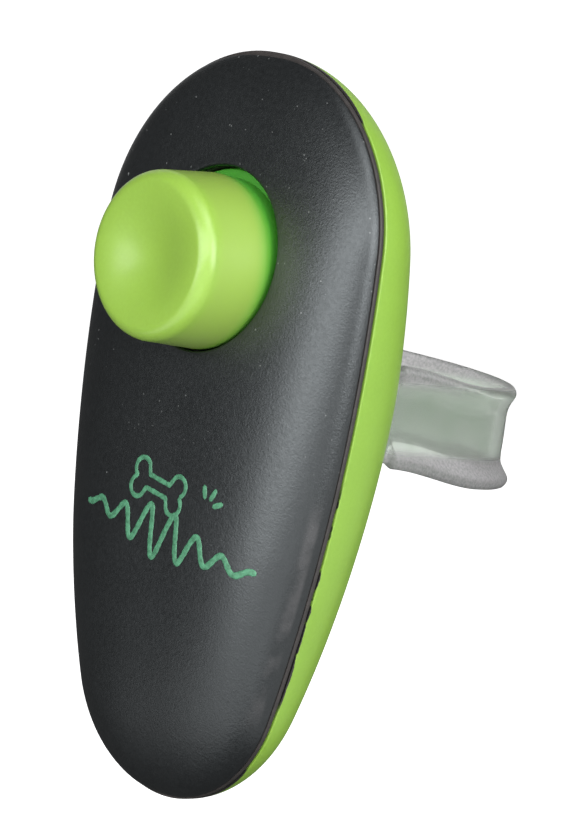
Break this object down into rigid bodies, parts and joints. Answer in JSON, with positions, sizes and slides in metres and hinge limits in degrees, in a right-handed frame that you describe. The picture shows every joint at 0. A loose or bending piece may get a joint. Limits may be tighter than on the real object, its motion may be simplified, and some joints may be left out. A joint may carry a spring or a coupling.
{
  "type": "clicker trainer",
  "caption": "Finger-worn dog-training clicker: egg-shaped two-part case, dished push button, sprung steel tongue and soft finger band.",
  "frame": {"origin": "middle of the flat finger rest on the back of the case, between the legs of the finger band", "axes": "+Z along the case towards its wide end with the button, +Y out of the back towards the finger, +X across the case"},
  "size_m": [0.0304, 0.0396, 0.0599],
  "materials": {
    "soft_black": "satin soft-touch",
    "black_plastic": "matte",
    "lime_plastic": "satin moulded",
    "spring_steel": "bright rolled",
    "zinc_plated_steel": "zinc plated",
    "clear_elastomer": "clear flexible"
  },
  "bodies": {
    "case": {"front_skin": "soft_black", "front_shell": "black_plastic", "rear_shell": "lime_plastic", "click_leaf": "spring_steel", "leaf_clamp": "zinc_plated_steel", "leaf_screw_left": "zinc_plated_steel", "leaf_screw_right": "zinc_plated_steel", "case_screw_top": "zinc_plated_steel", "case_screw_left": "zinc_plated_steel", "case_screw_right": "zinc_plated_steel", "finger_band": "clear_elastomer"},
    "button": {"button": "lime_plastic"}
  },
  "joints": [
    {"name": "button_press", "type": "slide", "parent": "case", "child": "button", "axis": [0, 1, 0], "range_m": [0, 0.002], "stiffness_N_per_m": 1500, "springref_m": -0.0004, "deforming": ["click_leaf"]}
  ]
}
